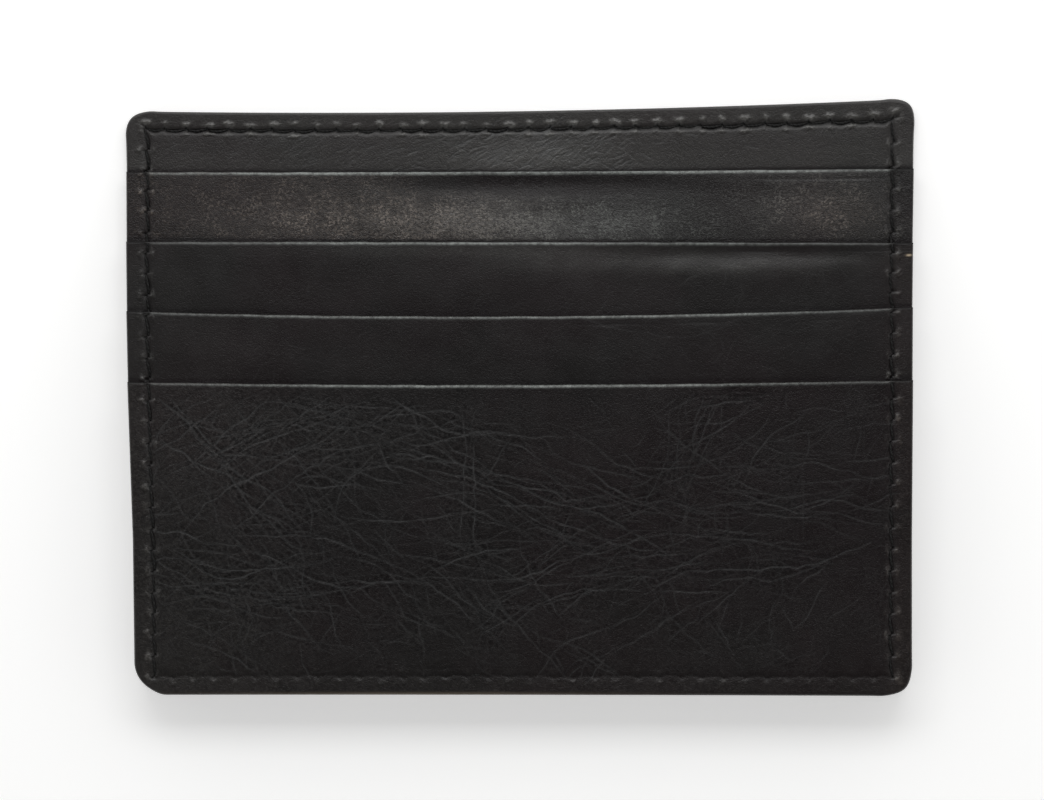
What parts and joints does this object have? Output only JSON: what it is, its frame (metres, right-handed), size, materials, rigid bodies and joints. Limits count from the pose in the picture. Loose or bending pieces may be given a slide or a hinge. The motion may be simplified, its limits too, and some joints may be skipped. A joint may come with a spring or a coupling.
{
  "type": "card holder",
  "caption": "Flat black leather card holder with stepped card slots across its front, sewn all round its edge",
  "frame": {"origin": "centre of the flat back face", "axes": "+X across the slots, +Y towards the top edge, +Z out of the front; it lies on its back"},
  "size_m": [0.1, 0.075, 0.0068],
  "materials": {
    "black_leather": "smooth glazed black leather with fine natural creases and a satin sheen",
    "filler_leather": "black split leather, edges painted with the panels",
    "lining_fabric": "thin black twill, matt",
    "core_sheet": "bonded fibre sheet, matt, not seen",
    "thread": "black bonded thread with a slight sheen"
  },
  "bodies": {
    "root": {"back_panel": "black_leather", "core_sheet": "core_sheet", "face_panel": "black_leather", "slot_filler_1": "filler_leather", "slot_lining_1": "lining_fabric", "slot_panel_1": "black_leather", "slot_filler_2": "filler_leather", "slot_lining_2": "lining_fabric", "slot_panel_2": "black_leather", "slot_filler_3": "filler_leather", "slot_lining_3": "lining_fabric", "slot_panel_3": "black_leather", "slot_filler_4": "filler_leather", "front_pocket_lining": "lining_fabric", "front_pocket_panel": "black_leather", "bobbin_thread": "thread", "needle_thread": "thread"}
  },
  "joints": []
}
